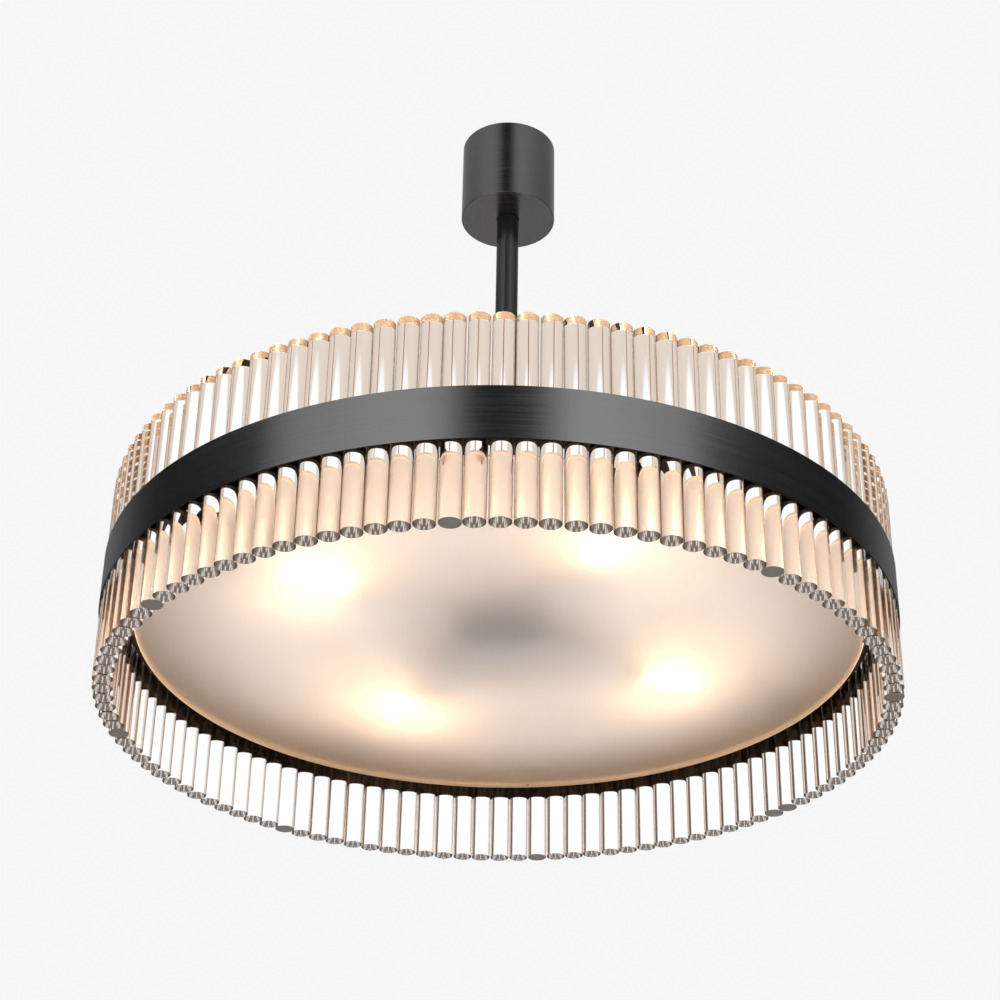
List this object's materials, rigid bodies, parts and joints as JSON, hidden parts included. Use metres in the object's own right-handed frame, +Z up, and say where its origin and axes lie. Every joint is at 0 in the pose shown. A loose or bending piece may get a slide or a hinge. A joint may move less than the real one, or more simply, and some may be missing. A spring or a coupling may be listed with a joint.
{
  "type": "drum chandelier",
  "caption": "Drum chandelier with a ring of upright glass rods held by a dark band round a frosted disc, on a rigid stem with a cylindrical canopy.",
  "frame": {"origin": "middle of the ceiling plate's top face, against the ceiling", "axes": "+Z up; the light hangs below the origin, and -Y is the side that the picture shows"},
  "size_m": [0.7838, 0.784, 0.7015],
  "materials": {
    "dark_metal": "brushed dark gunmetal",
    "black_metal": "satin near-black",
    "zinc_steel": "zinc plated",
    "brass": "polished",
    "glass": "clear, polished",
    "frosted": "frosted, lit from behind",
    "lamp_opal": "opal",
    "ceramic": "glazed ceramic",
    "nylon": "moulded, pale"
  },
  "bodies": {
    "frame_body": {"ceiling_plate": "zinc_steel", "hanger_pin": "zinc_steel", "stem_nut": "zinc_steel", "cover_screw_1": "zinc_steel", "cover_screw_2": "zinc_steel", "terminal_block": "nylon", "hub_terminal": "nylon", "earth_screw": "brass", "stem": "dark_metal", "stem_collar": "dark_metal", "outer_band": "dark_metal", "hub_body": "black_metal", "hub_cover": "black_metal", "inner_ring": "black_metal", "arm_1": "black_metal", "arm_2": "black_metal", "arm_3": "black_metal", "arm_4": "black_metal", "diffuser_bracket_1": "black_metal", "diffuser_bracket_2": "black_metal", "lamp_holder_1": "ceramic", "lamp_holder_2": "ceramic", "lamp_holder_3": "ceramic", "lamp_holder_4": "ceramic", "glass_rods_01": "glass", "glass_rods_02": "glass", "glass_rods_03": "glass", "glass_rods_04": "glass", "glass_rods_05": "glass", "glass_rods_06": "glass", "glass_rods_07": "glass", "glass_rods_08": "glass", "glass_rods_09": "glass", "glass_rods_10": "glass", "glass_rods_11": "glass", "glass_rods_12": "glass", "glass_rods_13": "glass", "glass_rods_14": "glass", "glass_rods_15": "glass", "glass_rods_16": "glass", "glass_rods_17": "glass", "glass_rods_18": "glass", "glass_rods_19": "glass"},
    "canopy_body": {"canopy": "dark_metal", "canopy_bush": "nylon"},
    "diffuser_body": {"diffuser": "frosted", "diffuser_screw_1": "brass", "diffuser_screw_2": "brass"},
    "lamp_1_body": {"lamp_1": "lamp_opal"},
    "lamp_2_body": {"lamp_2": "lamp_opal"},
    "lamp_3_body": {"lamp_3": "lamp_opal"},
    "lamp_4_body": {"lamp_4": "lamp_opal"}
  },
  "joints": [
    {"name": "canopy_slide", "type": "slide", "parent": "frame_body", "child": "canopy_body", "axis": [0, 0, -1], "range_m": [0, 0.45]},
    {"name": "diffuser_lower", "type": "slide", "parent": "frame_body", "child": "diffuser_body", "axis": [0, 0, -1], "range_m": [0, 0.15]},
    {"name": "lamp_1_pull", "type": "slide", "parent": "frame_body", "child": "lamp_1_body", "axis": [0.515, -0.8572, 0], "range_m": [0, 0.03]},
    {"name": "lamp_2_pull", "type": "slide", "parent": "frame_body", "child": "lamp_2_body", "axis": [0.8572, 0.515, 0], "range_m": [0, 0.03]},
    {"name": "lamp_3_pull", "type": "slide", "parent": "frame_body", "child": "lamp_3_body", "axis": [-0.515, 0.8572, 0], "range_m": [0, 0.03]},
    {"name": "lamp_4_pull", "type": "slide", "parent": "frame_body", "child": "lamp_4_body", "axis": [-0.8572, -0.515, 0], "range_m": [0, 0.03]}
  ]
}
